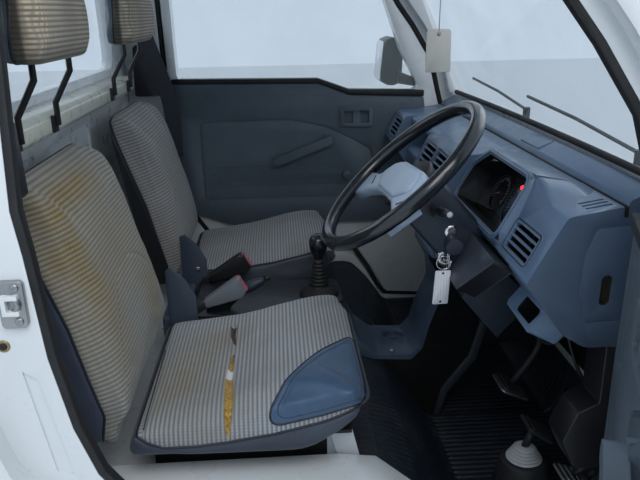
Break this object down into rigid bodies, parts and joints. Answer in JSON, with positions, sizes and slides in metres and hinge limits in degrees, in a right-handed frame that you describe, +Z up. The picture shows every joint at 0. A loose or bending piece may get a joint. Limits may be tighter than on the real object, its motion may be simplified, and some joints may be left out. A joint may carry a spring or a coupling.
{
  "type": "kei truck cab",
  "caption": "Small forward-control truck cab, right-hand drive, with bench-less twin seats, dashboard, hinged doors and a turning steering wheel.",
  "frame": {"origin": "centre of the four cab mounting holes, on the plane under the floor rails that stands on the chassis", "axes": "+X forward, +Y to the left (passenger side), +Z up"},
  "size_m": [1.2793, 2.4787, 1.462],
  "materials": {
    "body_paint": "gloss",
    "cream_paint": "gloss",
    "chassis_black": "satin",
    "black_metal": "satin",
    "pedal_metal": "worn",
    "seal_rubber": "matt",
    "mat_rubber": "ribbed",
    "glass": "clear",
    "lamp_lens": "clear",
    "bumper_plastic": "satin",
    "dash_plastic": "grained",
    "trim_plastic": "grained",
    "vent_plastic": "satin",
    "black_plastic": "satin",
    "wheel_plastic": "worn",
    "seat_fabric": "ribbed",
    "headrest_fabric": "woven check",
    "belt_fabric": "webbing",
    "visor_vinyl": "matt"
  },
  "bodies": {
    "cab": {"frame_rails": "chassis_black", "floor_pan": "body_paint", "side_frame_left": "body_paint", "side_frame_right": "body_paint", "door_seals": "seal_rubber", "rear_wall": "body_paint", "rear_glass": "glass", "rear_crossmember": "cream_paint", "roof_panel": "body_paint", "windscreen": "glass", "front_panel": "body_paint", "front_lamps": "lamp_lens", "front_bumper": "bumper_plastic", "wipers": "black_metal", "dashboard": "dash_plastic", "instrument_cluster": "black_plastic", "air_vents": "vent_plastic", "steering_column": "black_plastic", "driver_cushion": "seat_fabric", "driver_back": "seat_fabric", "passenger_cushion": "seat_fabric", "passenger_back": "seat_fabric", "seat_bases": "black_metal", "headrest_rods": "black_metal", "headrest_pads": "headrest_fabric", "centre_console": "dash_plastic", "gear_lever": "black_plastic", "handbrake": "black_plastic", "pedals": "pedal_metal", "floor_mat": "mat_rubber", "heater_box": "black_plastic", "buckles": "black_plastic", "belt_fittings": "black_plastic", "belt_webbing": "belt_fabric", "sun_visors": "visor_vinyl", "interior_mirror": "black_plastic"},
    "steering": {"steering_wheel": "wheel_plastic"},
    "door_left": {"door_left_shell": "body_paint", "door_left_glass": "glass", "door_left_trim": "trim_plastic", "door_left_mirror": "black_plastic"},
    "door_right": {"door_right_shell": "body_paint", "door_right_glass": "glass", "door_right_trim": "trim_plastic", "door_right_mirror": "black_plastic"}
  },
  "joints": [
    {"name": "steering_turn", "type": "hinge", "parent": "cab", "child": "steering", "pos_m": [0.11, -0.312, 0.78], "axis": [-0.6587, 0, 0.7524], "range_deg": [-540, 540]},
    {"name": "door_left_swing", "type": "hinge", "parent": "cab", "child": "door_left", "pos_m": [0.44, 0.699, 0.7], "axis": [0, 0, -1], "range_deg": [0, 70]},
    {"name": "door_right_swing", "type": "hinge", "parent": "cab", "child": "door_right", "pos_m": [0.44, -0.699, 0.7], "axis": [0, 0, 1], "range_deg": [-68, 2]}
  ]
}
